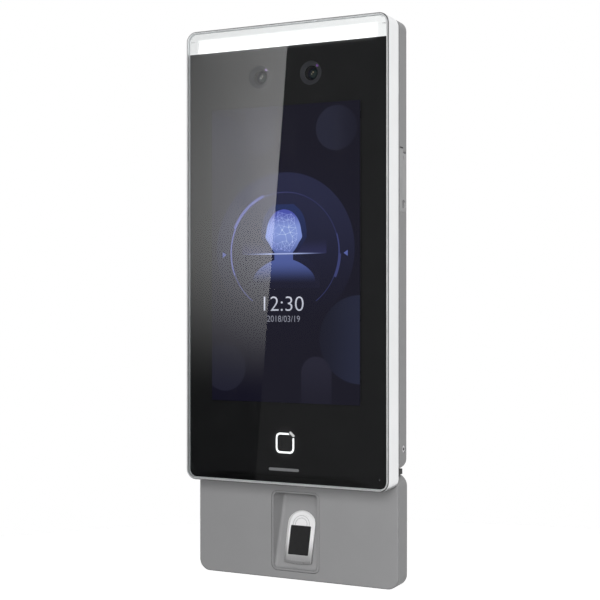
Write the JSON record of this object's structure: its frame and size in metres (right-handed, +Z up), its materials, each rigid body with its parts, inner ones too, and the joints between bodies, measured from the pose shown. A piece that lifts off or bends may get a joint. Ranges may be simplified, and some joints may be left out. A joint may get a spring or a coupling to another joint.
{
  "type": "fingerprint scanner terminal",
  "caption": "Tall wall-mounted access terminal: glass-fronted face camera and touch screen with a lit top bar, over a lower module with a sloped finger recess and fingerprint sensor.",
  "frame": {"origin": "centre of the wall bracket's screw pattern, on the wall face, at mid height of the main unit", "axes": "+X to the right as seen by the user, +Y into the wall, +Z up"},
  "size_m": [0.1174, 0.027, 0.292],
  "materials": {
    "cover_glass": "polished clear",
    "black_print": "opaque black ink",
    "white_print": "translucent white ink",
    "tape": "matt",
    "frame_metal": "fine satin anodised",
    "light_bar": "milky diffuser",
    "white_board": "white solder mask",
    "green_board": "green solder mask",
    "led": "phosphor",
    "lcd": "polarised film",
    "steel": "satin",
    "zinc_screw": "bright zinc",
    "black_plastic": "fine texture",
    "lens_glass": "coated",
    "chip": "moulded epoxy",
    "thermal_pad": "soft matt",
    "heat_sink": "extruded",
    "seal": "soft matt",
    "casing": "fine textured grey paint",
    "port_cover": "satin moulded",
    "module_shell": "fine textured grey paint",
    "bezel": "satin chrome",
    "sensor_glass": "smooth dark coating",
    "blue_relay": "moulded",
    "header_green": "moulded",
    "cell": "stamped",
    "ribbon": "polyimide film"
  },
  "bodies": {
    "root": {"cover_glass": "cover_glass", "glass_mask": "black_print", "light_window_print": "white_print", "glass_tape": "tape", "front_frame": "frame_metal", "light_bar": "light_bar", "light_board": "white_board", "fill_light_leds": "led", "lcd_panel": "lcd", "lcd_backlight": "steel", "colour_camera_barrel": "black_plastic", "infrared_camera_barrel": "black_plastic", "colour_camera_lens": "lens_glass", "infrared_camera_lens": "lens_glass", "camera_holder": "black_plastic", "infrared_leds": "black_plastic", "camera_board": "green_board", "card_antenna_board": "green_board", "icon_light_guide": "light_bar", "microphone": "zinc_screw", "mid_chassis": "black_plastic", "chassis_screws": "zinc_screw", "main_board": "green_board", "board_screws": "zinc_screw", "processor": "chip", "memory_chips": "chip", "thermal_pad": "thermal_pad", "heat_sink": "heat_sink", "door_relay": "blue_relay", "cell_holder": "black_plastic", "backup_cell": "cell", "network_socket": "steel", "wiring_headers": "header_green", "loudspeaker": "black_plastic", "rear_casing": "casing", "casing_seal": "seal", "casing_screws": "zinc_screw", "usb_socket": "steel", "reset_switch": "chip", "port_hinge_pin": "steel", "tamper_switch": "chip", "wall_bracket": "steel", "security_screws": "steel", "neck_bridge": "seal", "neck_screws": "zinc_screw", "module_ribbon": "ribbon", "module_front": "module_shell", "module_back": "module_shell", "module_gasket": "seal", "module_screws": "zinc_screw", "module_board": "green_board", "finger_cradle": "module_shell", "sensor_bezel": "bezel", "sensor_window": "sensor_glass", "sensor_board": "green_board", "sensor_ribbon": "ribbon"},
    "cover_flap": {"port_cover": "port_cover"},
    "button": {"reset_button": "black_plastic"},
    "plunger": {"tamper_plunger": "black_plastic"}
  },
  "joints": [
    {"name": "port_cover_hinge", "type": "hinge", "parent": "root", "child": "cover_flap", "pos_m": [0.0572, -0.008, 0.05305], "axis": [0, -1, 0], "range_deg": [0, 90]},
    {"name": "reset_button_press", "type": "slide", "parent": "root", "child": "button", "axis": [-1, 0, 0], "range_m": [0, 0.0005], "stiffness_N_per_m": 200, "springref_m": -0.0005},
    {"name": "tamper_plunger_press", "type": "slide", "parent": "root", "child": "plunger", "axis": [0, -1, 0], "range_m": [0, 0.001], "stiffness_N_per_m": 150, "springref_m": -0.0005}
  ]
}
